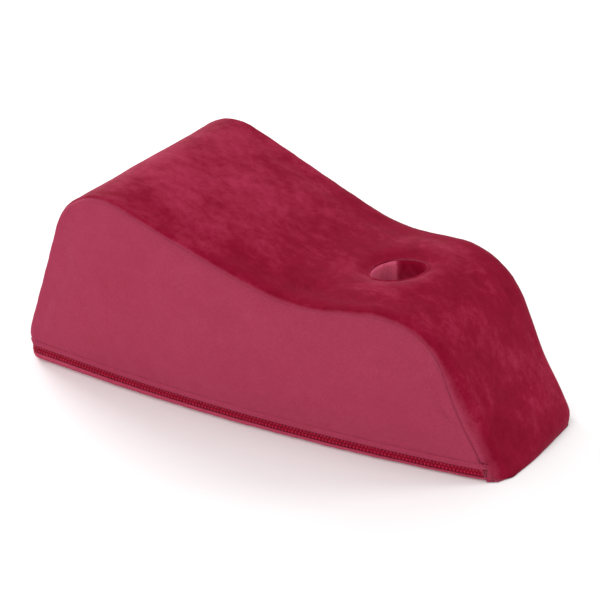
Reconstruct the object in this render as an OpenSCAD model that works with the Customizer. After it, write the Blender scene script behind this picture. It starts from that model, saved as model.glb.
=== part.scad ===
// Contoured foam wedge cushion: a zipped velour cover over a lined foam core,
// with a round pocket sunk into the crest. +X points to the low front end.

/* [Overall size] */
// Length along the floor, rear face to front edge
length = 610; // [550:5:670]
// Width between the rear corners
rear_width = 276; // [244:2:314]
// Width between the front corners
front_width = 166; // [144:2:200]
// Radius of each long side, seen from above
side_radius = 2150; // [1850:50:3100]
// Radius of the upright rear corners
rear_corner_radius = 15; // [10:1:30]
// Radius of the upright front corners
front_corner_radius = 18; // [10:1:26]

/* [Side profile] */
// Height where the rear face and the ramp would meet, before rounding
shoulder_height = 255; // [232:1:278]
// How far the shoulder stands forward of the rear face
shoulder_setback = 77; // [60:1:98]
// Radius of the rounded shoulder
shoulder_radius = 70; // [52:1:82]
// Distance of the saddle from the rear face
saddle_x = 358; // [342:1:372]
// Height of the saddle
saddle_height = 166; // [150:1:176]
// Distance of the crest from the rear face
crest_x = 510; // [498:1:522]
// Height where the crest's two slopes would meet, before rounding
crest_height = 184; // [178:1:194]
// Radius of the rounded crest
crest_radius = 98; // [82:1:108]

/* [Layers] */
// Thickness of the velour cover
cover_thickness = 2; // [1.6:0.1:2.4]
// Thickness of the inner liner
liner_thickness = 1; // [0.8:0.1:1.2]
// Air left between neighbouring layers
layer_gap = 0.2; // [0.2:0.05:0.3]

/* [Pocket] */
// Distance of the pocket's axis from the rear face
pocket_x = 425; // [411:1:437]
// Inside radius of the pocket
pocket_radius = 29; // [23:0.5:33]
// Height of the pocket's floor above the ground
pocket_floor_z = 40; // [25:1:80]
// How far the bound rim stands above the cover
rim_proud = 1; // [0.6:0.1:1.6]
// Width of the bound rim
rim_width = 3; // [2:0.5:5]

/* [Zip] */
// Height of the zip's centre line at the rear face
zip_rear_z = 16; // [14:0.5:17]
// Downward tilt of the zip line towards the front, in degrees
zip_fall = 0.6; // [0:0.1:0.6]
// Distance from the rear face to the near end of the zip
zip_near_end = 586; // [570:1:588]
// Distance from the rear face to the far end of the zip
zip_far_end = 578; // [560:1:580]
// Width of each half of the chain
coil_width = 4.5; // [3.5:0.1:4.6]
// Slot between the two halves of the chain
chain_slot = 1; // [1:0.1:1.2]
// How far the chain stands out of the cover
coil_proud = 0.8; // [0.5:0.1:1]
// Thickness of the woven tape
tape_thickness = 0.8; // [0.6:0.1:1]
// Width of each tape behind the cover
tape_width = 12; // [10:0.5:13]

/* [Slider] */
// Distance from the rear face to the parked slider
slider_x = 562; // [530:1:564]
// Length of the slider body
slider_length = 13; // [10:0.5:15]
// Height of the slider body across the chain
slider_height = 12.4; // [12:0.1:12.8]
// Thickness of the slider's plates
plate_thickness = 1.2; // [1:0.1:1.4]
// Clear space between the slider and the chain
slider_clearance = 0.5; // [0.4:0.05:0.6]
// Length of the pull tab
pull_length = 32; // [20:1:40]
// Width of the pull tab
pull_width = 7; // [5:0.5:8]
// Thickness of the pull tab
pull_thickness = 1.4; // [1:0.1:2]

/* [Hidden] */

$fn = 96;
facet_error = 0.15;
reach = 2 * length;
rear_bend_z = 36;
rear_bend_setback = 0.5;
rear_bend_radius = 55;
saddle_radius = 190;
side_knot_x = 319;
side_knot_width = 286.4;
zip_band = 13;
rebate_depth = 3;
floor_gap = 0.5;
stop_length = 2.4;
sleeve_step = 0.2;

coil_edge = chain_slot / 2 + coil_width;
panel_edge = coil_edge + 0.1;
liner_inset = cover_thickness + layer_gap;
foam_inset = liner_inset + liner_thickness + layer_gap;
centre_x = (length - coil_proud) / 2;

sleeve_outer = pocket_radius + cover_thickness;
liner_sleeve_inner = sleeve_outer + sleeve_step;
liner_sleeve_outer = liner_sleeve_inner + liner_thickness;
bore_radius = liner_sleeve_outer + sleeve_step;

// The slider's plates, measured inward from the cover's outer face.
front_plate_inner = -coil_proud - slider_clearance;
front_plate_outer = front_plate_inner - plate_thickness;
back_plate_outer = cover_thickness + tape_thickness + slider_clearance;
bridge_height = 2.4;
bridge_width = 2;
eye_radius = 2.2;
pivot_inset = front_plate_outer - bridge_height / 2;
pivot_radius = 0.7;

// Corner points [x, y, radius] of the outline from above and of the side profile.
plan_knots = [
    [0, -rear_width / 2, rear_corner_radius],
    [side_knot_x, -side_knot_width / 2, side_radius],
    [length, -front_width / 2, front_corner_radius],
    [length, front_width / 2, front_corner_radius],
    [side_knot_x, side_knot_width / 2, side_radius],
    [0, rear_width / 2, rear_corner_radius],
];
profile_knots = [
    [0, 0, 0],
    [length, 0, 0],
    [crest_x, crest_height, crest_radius],
    [saddle_x, saddle_height, saddle_radius],
    [shoulder_setback, shoulder_height, shoulder_radius],
    [rear_bend_setback, rear_bend_z, rear_bend_radius],
];

// Rounded outlines ---------------------------------------------------------

function unit(v) = v / norm(v);
function inward(v) = [-v[1], v[0]];
function xy(knot) = [knot[0], knot[1]];
function wrap(list, i) = list[(i + len(list)) % len(list)];

// Directions of the edges that run into and out of a knot.
function edge_in(knots, i) = unit(xy(knots[i]) - xy(wrap(knots, i - 1)));
function edge_out(knots, i) = unit(xy(wrap(knots, i + 1)) - xy(knots[i]));
function turn_at(knots, i) =
    let (a = edge_in(knots, i), b = edge_out(knots, i))
    atan2(a[0] * b[1] - a[1] * b[0], a * b);

// From a knot to the meeting point of its two edges moved inward by 1.
function mitre(knots, i) =
    let (a = inward(edge_in(knots, i)), b = inward(edge_out(knots, i)))
    (a + b) / (1 + a * b);
function arc_steps(turn, radius) =
    radius <= facet_error ? 1 : max(1, ceil(abs(turn) / (2 * acos(1 - facet_error / radius))));

// The arc that rounds one knot of an outline moved inward by inset.
function round_corner(knots, i, inset) =
    let (
        turn = turn_at(knots, i),
        side = sign(turn),
        radius = max(0.01, knots[i][2] - side * inset),
        middle = xy(knots[i]) + (inset + side * radius) * mitre(knots, i),
        start = -side * inward(edge_in(knots, i)),
        steps = arc_steps(turn, radius)
    )
    [for (k = [0:steps])
        let (angle = atan2(start[1], start[0]) + turn * k / steps)
        middle + radius * [cos(angle), sin(angle)]];

// An outline moved inward by inset, with every corner rounded.
function rounded(knots, inset) =
    [for (i = [0:len(knots) - 1]) each round_corner(knots, i, inset)];

// Centre of the arc of the far side, which the slider's travel turns about.
side_centre = xy(plan_knots[4]) + side_radius * mitre(plan_knots, 4);

// Solids that the layers are cut from --------------------------------------

module in_frame() {
    translate([-centre_x, 0, 0]) children();
}

module plan_prism(inset) {
    translate([0, 0, -1]) linear_extrude(shoulder_height + 2) polygon(rounded(plan_knots, inset));
}

module profile_prism(inset) {
    rotate([90, 0, 0])
        linear_extrude(2 * rear_width, center = true) polygon(rounded(profile_knots, inset));
}

// The whole cushion with its surface moved inward by inset.
module cushion(inset) {
    intersection() {
        plan_prism(inset);
        profile_prism(inset);
    }
}

module skin(outer_inset, inner_inset) {
    difference() {
        cushion(outer_inset);
        cushion(inner_inset);
    }
}

// Everything below the zip line moved up by offset.
module below_zip(offset) {
    translate([0, 0, zip_rear_z]) rotate([0, zip_fall, 0])
        translate([-reach / 2, -reach / 2, offset - reach]) cube([2 * reach, reach, reach]);
}

module zip_layer(low, high) {
    difference() {
        below_zip(high);
        below_zip(low);
    }
}

// The stretch of floor plan where the zip runs.
module zip_reach(extra) {
    translate([-reach, -reach, -reach]) cube([reach + zip_near_end + extra, reach, 2 * reach]);
    translate([-reach, 0, -reach]) cube([reach + zip_far_end + extra, reach, 2 * reach]);
}

module pocket_column(radius, from_z) {
    translate([pocket_x, 0, from_z]) cylinder(r = radius, h = shoulder_height - from_z);
}

// The room under the cover: full size above, and stepped in behind the zip.
module inside(inset) {
    difference() {
        cushion(inset);
        difference() {
            below_zip(zip_band + inset - liner_inset);
            intersection() {
                plan_prism(inset + rebate_depth);
                // The second copy carries the stepped-in rear face down to the base.
                for (drop = [0, 2 * (inset + rebate_depth)])
                    translate([0, 0, -drop]) profile_prism(inset + rebate_depth);
            }
        }
    }
}

// The stretch of floor plan between the end corners, where the side panels stand.
module side_zone() {
    translate([rear_corner_radius, -reach, -reach])
        cube([length - rear_corner_radius - front_corner_radius, 2 * reach, 2 * reach]);
}

// One long side of the cover, for side -1 (near) or +1 (far).
module side_wall(side) {
    difference() {
        intersection() {
            cushion(0);
            side_zone();
            translate([-reach, side > 0 ? 0 : -reach, -reach]) cube([3 * reach, reach, 2 * reach]);
        }
        plan_prism(cover_thickness);
        cover_hem();
    }
}

// What the cover's lower edge is trimmed away from.
module cover_hem() {
    translate([-reach, -reach, -reach]) cube([3 * reach, 2 * reach, reach + cover_thickness + floor_gap]);
    intersection() {
        below_zip(panel_edge);
        zip_reach(stop_length + floor_gap);
    }
}

// Core and liner -----------------------------------------------------------

module foam_core() {
    color("lightyellow") in_frame() difference() {
        inside(foam_inset);
        pocket_column(bore_radius, pocket_floor_z - bore_radius + pocket_radius);
    }
}

module liner_cavity() {
    inside(liner_inset + liner_thickness);
}

module liner_shell() {
    color("whitesmoke") in_frame() difference() {
        inside(liner_inset);
        liner_cavity();
        pocket_column(liner_sleeve_outer, pocket_floor_z);
        translate([-reach, -reach, -reach])
            cube([3 * reach, 2 * reach, reach + liner_inset + liner_thickness]);
    }
}

module liner_base() {
    color("whitesmoke") in_frame() intersection() {
        inside(liner_inset);
        translate([-reach, -reach, 0]) cube([3 * reach, 2 * reach, liner_inset + liner_thickness]);
    }
}

module liner_sleeve() {
    floor_top = pocket_floor_z - cover_thickness - sleeve_step;
    color("whitesmoke") in_frame() intersection() {
        inside(liner_inset);
        difference() {
            pocket_column(liner_sleeve_outer, floor_top - liner_thickness);
            pocket_column(liner_sleeve_inner, floor_top);
        }
    }
}

// Cover --------------------------------------------------------------------

// The two ends of the cover, where the top panel wraps round the corners.
module end_zones(inset) {
    for (start = [-reach, length - front_corner_radius])
        intersection() {
            plan_prism(inset);
            translate([start, -reach, -reach]) cube([reach + rear_corner_radius, 2 * reach, 2 * reach]);
        }
}

module cover_top_panel() {
    color("crimson") in_frame() difference() {
        intersection() {
            profile_prism(0);
            union() {
                plan_prism(cover_thickness);
                end_zones(0);
            }
        }
        intersection() {
            profile_prism(cover_thickness);
            union() {
                side_zone();
                plan_prism(cover_thickness);
            }
        }
        cover_hem();
        pocket_column(sleeve_outer, pocket_floor_z);
    }
}

module cover_near_panel() {
    color("palevioletred") in_frame() side_wall(-1);
}

module cover_far_panel() {
    color("palevioletred") in_frame() side_wall(1);
}

module cover_base_panel() {
    color("palevioletred") in_frame() intersection() {
        cushion(0);
        translate([-reach, -reach, -1]) cube([3 * reach, 2 * reach, 1 + cover_thickness]);
    }
}

// The strip sewn round the base sheet, which stands up to meet the zip.
module cover_border() {
    color("palevioletred") in_frame() intersection() {
        cushion(0);
        difference() {
            below_zip(-panel_edge);
            plan_prism(cover_thickness);
            translate([-reach, -reach, -reach]) cube([3 * reach, 2 * reach, reach + cover_thickness]);
        }
        zip_reach(stop_length);
    }
}

// Pocket -------------------------------------------------------------------

module pocket_sleeve() {
    color("palevioletred") in_frame() intersection() {
        cushion(0);
        difference() {
            pocket_column(sleeve_outer, pocket_floor_z);
            pocket_column(pocket_radius, pocket_floor_z - 1);
        }
    }
}

module pocket_floor() {
    color("crimson") in_frame()
        translate([pocket_x, 0, pocket_floor_z - cover_thickness])
            cylinder(r = sleeve_outer, h = cover_thickness);
}

module pocket_rim() {
    color("palevioletred") in_frame() intersection() {
        skin(-rim_proud, 0);
        difference() {
            pocket_column(pocket_radius + rim_width, pocket_floor_z);
            pocket_column(pocket_radius, pocket_floor_z - 1);
        }
    }
}

// Zip ----------------------------------------------------------------------

// A strip that follows the outline, between two insets and two heights about the zip line.
module zip_strip(outer_inset, inner_inset, low, high, extra = 0) {
    intersection() {
        skin(outer_inset, inner_inset);
        zip_layer(low, high);
        zip_reach(extra);
    }
}

module zip_tape_upper() {
    color("firebrick") in_frame()
        zip_strip(cover_thickness, cover_thickness + tape_thickness, chain_slot / 2 + 0.2, tape_width, 2);
}

module zip_coil_upper() {
    color("darkred") in_frame() zip_strip(-coil_proud, cover_thickness, chain_slot / 2, coil_edge);
}

module zip_tape_lower() {
    color("firebrick") in_frame() difference() {
        zip_strip(cover_thickness, cover_thickness + tape_thickness, -tape_width, -chain_slot / 2 - 0.2);
        translate([-reach, -reach, -reach])
            cube([3 * reach, 2 * reach, reach + cover_thickness + tape_thickness + layer_gap]);
    }
}

module zip_coil_lower() {
    color("darkred") in_frame() zip_strip(-coil_proud, cover_thickness, -coil_edge, -chain_slot / 2);
}

// A crimped clip across one half of the chain, just past its far end.
module top_stop(low, high) {
    intersection() {
        zip_strip(-coil_proud, cover_thickness, low, high, stop_length);
        translate([zip_far_end, 0, 0]) cube([reach, reach, reach]);
    }
}

module zip_top_stop_upper() {
    color("silver") in_frame() top_stop(chain_slot / 2, coil_edge - 0.4);
}

module zip_top_stop_lower() {
    color("silver") in_frame() top_stop(0.4 - coil_edge, -chain_slot / 2);
}

// The clip that holds the two halves together at the near end.
module zip_bottom_stop() {
    color("silver") in_frame() intersection() {
        zip_strip(-coil_proud, cover_thickness, 0.4 - coil_edge, coil_edge - 0.4, stop_length);
        translate([zip_near_end, -reach, 0]) cube([reach, reach, reach]);
    }
}

// Slider -------------------------------------------------------------------

// The far side's outline at the parked slider: its angle about side_centre.
park_angle = acos((slider_x - side_centre[0]) / side_radius);
slider_z = zip_rear_z - slider_x * tan(zip_fall);

// Puts a part drawn with +X rearward along the chain, +Y inward and +Z up at the parked slider.
module at_slider() {
    translate([slider_x, side_centre[1] + side_radius * sin(park_angle), slider_z])
        rotate([0, zip_fall, 0]) rotate([0, 0, park_angle + 90]) children();
}

module slider_plate(from_inset, to_inset, low, high) {
    translate([-slider_length / 2, from_inset, low]) cube([slider_length, to_inset - from_inset, high - low]);
}

// The outer plate, with a shallow lip along each edge.
module slider_body() {
    lip = slider_clearance - 0.15;
    half = slider_height / 2;
    color("maroon") in_frame() at_slider() {
        slider_plate(front_plate_outer, front_plate_inner, -half, half);
        slider_plate(front_plate_inner, front_plate_inner + lip, -half, 0.5 - half);
        slider_plate(front_plate_inner, front_plate_inner + lip, half - 0.5, half);
    }
}

// The post between the two coils, which joins the slider's two plates.
module slider_wedge() {
    color("maroon") in_frame() at_slider()
        translate([-1.5, front_plate_inner, -chain_slot * 0.2])
            cube([3, back_plate_outer - front_plate_inner, chain_slot * 0.4]);
}

// The plate behind the tapes, which keeps the slider on the chain.
module slider_back_plate() {
    color("maroon") in_frame() at_slider()
        translate([-slider_length / 2 + 1, back_plate_outer, -3])
            cube([slider_length - 2, plate_thickness - 0.2, 6]);
}

// The raised loop that the pull tab hangs from.
module slider_bridge() {
    color("maroon") in_frame() at_slider() difference() {
        translate([-4, front_plate_outer - bridge_height, -bridge_width / 2])
            cube([8, bridge_height, bridge_width]);
        translate([0, pivot_inset, -bridge_width]) cylinder(r = pivot_radius + 0.05, h = 2 * bridge_width);
    }
}

// The pin that turns in the bridge, held at both ends by the pull tab.
module pull_eye() {
    color("silver") in_frame() at_slider()
        translate([0, pivot_inset, -pull_width / 2]) cylinder(r = pivot_radius, h = pull_width);
}

module pull_tab() {
    slot = bridge_width + 2 * slider_clearance;
    color("silver") in_frame() at_slider() difference() {
        union() {
            for (end = [-1, 1])
                translate([0, pivot_inset, end * (pull_width + slot) / 4 - (pull_width - slot) / 4])
                    cylinder(r = pull_thickness / 2 + 0.4, h = (pull_width - slot) / 2);
            translate([0, pivot_inset - pull_thickness / 2, -pull_width / 2])
                cube([pull_length, pull_thickness, pull_width]);
        }
        translate([-reach / 2, -reach / 2, -slot / 2]) cube([reach / 2 + 4.8, reach, slot]);
        translate([0, pivot_inset, -pull_width]) cylinder(r = pivot_radius, h = 2 * pull_width);
    }
}

foam_core();
liner_shell();
liner_base();
liner_sleeve();
cover_top_panel();
cover_near_panel();
cover_far_panel();
pocket_sleeve();
pocket_floor();
pocket_rim();
zip_tape_upper();
zip_coil_upper();
zip_top_stop_upper();
zip_bottom_stop();
cover_base_panel();
cover_border();
zip_tape_lower();
zip_coil_lower();
zip_top_stop_lower();
slider_body();
slider_wedge();
slider_back_plate();
slider_bridge();
pull_tab();
pull_eye();
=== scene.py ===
import math
import bpy
import bmesh
import numpy as np
from mathutils import Matrix, Vector, noise
from mathutils.kdtree import KDTree


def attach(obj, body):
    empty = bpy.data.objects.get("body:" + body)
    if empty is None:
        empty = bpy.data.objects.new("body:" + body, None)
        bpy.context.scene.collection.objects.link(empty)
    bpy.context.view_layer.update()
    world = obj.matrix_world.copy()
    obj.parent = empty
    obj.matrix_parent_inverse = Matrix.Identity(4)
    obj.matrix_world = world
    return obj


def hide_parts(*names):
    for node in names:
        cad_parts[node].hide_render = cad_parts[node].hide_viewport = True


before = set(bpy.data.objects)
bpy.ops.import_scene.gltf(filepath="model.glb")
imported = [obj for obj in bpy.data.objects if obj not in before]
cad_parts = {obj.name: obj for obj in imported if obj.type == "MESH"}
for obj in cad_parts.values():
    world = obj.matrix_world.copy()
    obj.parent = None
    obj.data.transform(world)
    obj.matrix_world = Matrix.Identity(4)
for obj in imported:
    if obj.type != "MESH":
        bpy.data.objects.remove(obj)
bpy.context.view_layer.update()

MM = 0.001

# ---------- dimensions, mm
LENGTH = 610.0
CENTRE = 304.6
SIDE_R = 2150.0
POCKET_X = 425.0
POCKET_R = 29.0
POCKET_FLOOR = 40.0
ZIP_Z = 16.0
ZIP_FALL = math.tan(math.radians(0.6))
CHAIN_EDGE = 5.6
ZIP_NEAR_END = 586.0
ZIP_FAR_END = 578.0
FOOT_Z = 0.9
# How far the toe's corners move forward and outward: filled out at the far side, drawn back at the near one.
TOE_FILL = (5.0, 2.0)
TOE_PULL = (-4.5, 1.5)
PLAN = [(0, -138, 15), (319, -143.2, SIDE_R), (LENGTH, -83, 18),
        (LENGTH, 83, 18), (319, 143.2, SIDE_R), (0, 138, 15)]
PROFILE = [(0, 0, 0), (LENGTH, 0, 0), (510, 184, 98), (358, 166, 190), (77, 255, 70), (0.5, 36, 55)]


def rounded(knots, inset=0.0):
    """The closed outline with its corners rounded, moved inward by inset."""
    out = []
    for i, (x, y, r) in enumerate(knots):
        p = np.array((x, y), float)
        a = p - np.array(knots[i - 1][:2], float)
        b = np.array(knots[(i + 1) % len(knots)][:2], float) - p
        a /= np.linalg.norm(a)
        b /= np.linalg.norm(b)
        turn = math.atan2(a[0] * b[1] - a[1] * b[0], a @ b)
        side = math.copysign(1, turn)
        ia, ib = np.array((-a[1], a[0])), np.array((-b[1], b[0]))
        radius = max(0.01, r - side * inset)
        middle = p + (inset + side * radius) * (ia + ib) / (1 + ia @ ib)
        start = math.atan2(*(-side * ia)[::-1])
        steps = max(2, int(abs(turn) * radius / 2.5) + 1)
        for k in range(steps + 1):
            t = start + turn * k / steps
            out.append(middle + radius * np.array((math.cos(t), math.sin(t))))
    return np.array(out)


class Path:
    """A polyline measured by its length."""

    def __init__(self, pts):
        keep = np.r_[True, np.linalg.norm(np.diff(pts, axis=0), axis=1) > 1e-6]
        self.p = pts[keep]
        self.s = np.r_[0, np.cumsum(np.linalg.norm(np.diff(self.p, axis=0), axis=1))]
        self.length = self.s[-1]

    def at(self, s):
        return np.stack([np.interp(s, self.s, self.p[:, k]) for k in (0, 1)], -1)

    def tangent(self, s, e=1.5):
        d = self.at(np.minimum(s + e, self.length)) - self.at(np.maximum(s - e, 0))
        return d / np.linalg.norm(d, axis=-1, keepdims=True)


def upper_half(knots):
    """The +Y half of an outline, rear to front."""
    pts = rounded(knots)
    return pts[pts[:, 1] > 0][::-1]


OUTLINE = upper_half(PLAN)
SQUARE = upper_half([(x, y, min(r, 1.0) if r < 100 else r) for x, y, r in PLAN])


def half_width(x):
    """Half the outline's width at a distance from the rear face."""
    return np.interp(x, OUTLINE[:, 0], OUTLINE[:, 1])


def wide(x):
    """Half the width as if the outline's corners were square; the edges' own rounding makes the corners."""
    return np.interp(x, SQUARE[:, 0], SQUARE[:, 1])


def spine(inset=0.0):
    """The side profile from the rear foot over the top to the front foot."""
    pts = rounded(PROFILE, inset)[::-1]
    first = int(np.argmin(pts[:, 0] + pts[:, 1]))
    pts = np.roll(pts, -first, axis=0)
    return Path(pts[:int(np.argmax(pts[:, 0] - pts[:, 1])) + 1])


SPINE = spine()


def smooth(x, a, b):
    """0 up to a, 1 from b on, eased between them."""
    t = np.clip((x - a) / (b - a), 0, 1)
    return t * t * (3 - 2 * t)


def zip_z(x):
    """Height of the chain's centre line."""
    return ZIP_Z - x * ZIP_FALL


def hem_z(x):
    """Height of the cover's lower edge: above the chain, then down to the base at the front."""
    above = zip_z(x) + CHAIN_EDGE
    return above - (above - FOOT_Z) * smooth(x, ZIP_NEAR_END + 1, ZIP_NEAR_END + 10)


def edge_radius(s):
    """Rounding between the top panel and the sides, at an arc length along the spine."""
    x = SPINE.at(s)[..., 0]
    rear = 2.0 * (1 - smooth(s, 110, 230)) + 6.0 * (1 - smooth(s, 20, 50))
    return 7 + 13 * smooth(x, 90, 290) + rear


def seam_drop(s):
    """How far below the spine the seam lies."""
    front = 9.5 * smooth(s, SPINE.length - 200, SPINE.length - 70)
    p = SPINE.at(s)
    drop = 2.6 + 4.6 * smooth(p[..., 0], 90, 290) + front
    # At the toe the seam stays above the floor.
    room = np.maximum(0.2, (p[..., 1] - FOOT_Z) / np.maximum(0.05, normals(s)[..., 1]))
    return np.where(s > SPINE.length - 60, np.minimum(drop, room), drop)


PATCH = 48.0
PATCH_CELLS = 20


def spine_points(low=None):
    """Arc lengths of the cover's rows, and the row where the pocket's patch begins."""
    rear, front = (hem_z(0), FOOT_Z) if low is None else (low, low)
    back = SPINE.p[:, 0] < 60
    s_rear = np.interp(rear, SPINE.p[back, 1], SPINE.s[back])
    toe = (SPINE.p[:, 0] > 560) & (SPINE.p[:, 1] < 80)
    s_front = np.interp(-front, -SPINE.p[toe, 1], SPINE.s[toe])
    s_pocket = pocket_s()
    a = np.linspace(s_rear, s_pocket - PATCH, 120)
    b = np.linspace(s_pocket - PATCH, s_pocket + PATCH, PATCH_CELLS + 1)
    c = np.linspace(s_pocket + PATCH, s_front, 46)
    return np.r_[a[:-1], b, c[1:]], len(a) - 1


def pocket_s():
    """Arc length of the pocket's centre along the spine."""
    top = (SPINE.p[:, 1] > 150) & (SPINE.p[:, 0] > 300)
    return float(np.interp(POCKET_X, SPINE.p[top, 0], SPINE.s[top]))


def normals(s):
    """The spine's outward normals."""
    t = SPINE.tangent(s)
    return np.stack([-t[:, 1], t[:, 0]], -1)


def top_point(s, a):
    """A point of the top panel: s along the spine, a across from the centre plane."""
    s, a = np.broadcast_arrays(np.asarray(s, float), np.asarray(a, float))
    flat_s = s.ravel()
    p = SPINE.at(flat_s)
    n = normals(flat_s)
    x = p[:, 0]
    w = wide(x)
    r = edge_radius(flat_s)
    q = np.abs(a.ravel())
    theta = np.clip((q - (w - r)) / r, 0, None)
    depth = r * (1 - np.cos(theta))
    narrowing = wide(x - n[:, 0] * depth) - w
    y = np.where(q < w - r, q, w + narrowing - r + r * np.sin(theta))
    out = np.stack([p[:, 0] - n[:, 0] * depth, np.sign(a.ravel()) * y, p[:, 1] - n[:, 1] * depth], -1)
    return out.reshape(s.shape + (3,))


def seam_a(s):
    """Half the top panel's cut width: centre plane to seam, along the surface."""
    x = SPINE.at(s)[:, 0]
    r = edge_radius(s)
    return wide(x) - r + r * np.arccos(1 - seam_drop(s) / r)


# ---------- mesh helpers
def to_frame(v):
    """From mm measured from the rear face to the frame's metres."""
    v = np.array(v, float)
    v[..., 0] -= CENTRE
    return v * MM


def toe_shape(verts):
    """Draws the near front corner back, where the cover is gathered, and fills out the far one."""
    v = np.array(verts, float)
    pull = smooth(-v[:, 1], 10, 84) * smooth(v[:, 0], 555, 612) * (1 - 0.7 * smooth(v[:, 2], 15, 75))
    fill = smooth(v[:, 1], -60, 40) * smooth(v[:, 0], 555, 600)
    fill *= smooth(v[:, 2], -4, 16) * (1 - smooth(v[:, 2], 38, 95))
    for axis in (0, 1):
        v[:, axis] += TOE_FILL[axis] * fill + TOE_PULL[axis] * pull
    return v


def make(name, verts, faces, body, mat):
    """A smooth-shaded mesh piece that rides on a body."""
    me = bpy.data.meshes.new(name)
    shaped = verts if body in ("zip_slider", "zip_pull") else toe_shape(verts)
    me.from_pydata([tuple(v) for v in to_frame(shaped)], [], faces)
    me.validate()
    me.update()
    me.polygons.foreach_set("use_smooth", [True] * len(me.polygons))
    o = bpy.data.objects.new(name, me)
    bpy.context.scene.collection.objects.link(o)
    me.materials.append(mat)
    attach(o, body)
    return o


def grid_faces(rows, cols, start=0, skip=None, close=False):
    """Quads between rows of points; close joins each row's end to its start."""
    f = []
    last = cols if close else cols - 1
    for i in range(rows - 1):
        for j in range(last):
            if skip and skip(i, j):
                continue
            k = (j + 1) % cols
            f.append((start + i * cols + j, start + i * cols + k,
                      start + (i + 1) * cols + k, start + (i + 1) * cols + j))
    return f


def thicken(o, mm, offset=-1):
    """Gives a sheet its thickness: below its surface, on both sides (0) or above it (1)."""
    m = o.modifiers.new("cloth", "SOLIDIFY")
    m.thickness = mm * MM
    m.offset = offset
    m.use_even_offset = False


def wobble(p, scale, seed=0.0):
    """Smooth noise in -1..1 at points in mm."""
    points = np.asarray(p, float) / scale + (seed, -seed, 3 * seed)
    return np.array([noise.noise(Vector(q)) for q in points])


# ---------- camera and light
def camera():
    """The camera's direction, lens and place, in mm, fitted to the object's outline."""
    d = Vector((-0.4736, 0.7475, -0.4658)).normalized()
    r = Vector((0.845, 0.535, 0)).normalized()
    u = r.cross(d).normalized()
    target = Vector((0.4, 2, 100))
    where = target - 9.60 * r + 1.28 * u - 2198 * d
    cam = bpy.data.cameras.new("view")
    cam.lens = 114.8
    cam.sensor_width = 36
    cam.clip_end = 20
    o = bpy.data.objects.new("view", cam)
    rows = [(r[k], u[k], -d[k], where[k] * MM) for k in range(3)]
    o.matrix_world = Matrix((*rows, (0, 0, 0, 1)))
    bpy.context.scene.collection.objects.link(o)
    bpy.context.scene.camera = o


def area(name, where, aim, size, power):
    light = bpy.data.lights.new(name, "AREA")
    light.shape = "SQUARE"
    light.size = size
    light.energy = power
    o = bpy.data.objects.new(name, light)
    o.location = where
    o.rotation_euler = (Vector(aim) - Vector(where)).to_track_quat("-Z", "Y").to_euler()
    bpy.context.scene.collection.objects.link(o)


def studio():
    world = bpy.data.worlds.new("studio")
    bpy.context.scene.world = world
    world.use_nodes = True
    back = world.node_tree.nodes["Background"]
    back.inputs[0].default_value = (1, 1, 1, 1)
    back.inputs[1].default_value = 0.85
    bpy.context.scene.view_settings.view_transform = "Standard"
    area("key", (-0.3, -2.7, 1.5), (0, 0, 0.1), 2.0, 29)
    area("back", (1.9, 1.7, 1.6), (0, 0, 0.12), 0.9, 20)
    area("rim", (-2.5, 0.9, 1.1), (-0.25, 0, 0.15), 1.2, 46)
    area("overhead", (0.1, 0.0, 2.6), (0, 0, 0), 2.2, 3)
    me = bpy.data.meshes.new("floor")
    me.from_pydata([(-40, -40, 0), (40, -40, 0), (40, 40, 0), (-40, 40, 0)], [], [(0, 1, 2, 3)])
    floor = bpy.data.objects.new("floor", me)
    floor.location = (0, 0, -0.0005)
    bpy.context.scene.collection.objects.link(floor)
    mat = bpy.data.materials.new("floor")
    mat.use_nodes = True
    b = mat.node_tree.nodes["Principled BSDF"]
    b.inputs["Base Color"].default_value = (0.96, 0.96, 0.96, 1)
    b.inputs["Roughness"].default_value = 0.7
    me.materials.append(mat)


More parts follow.
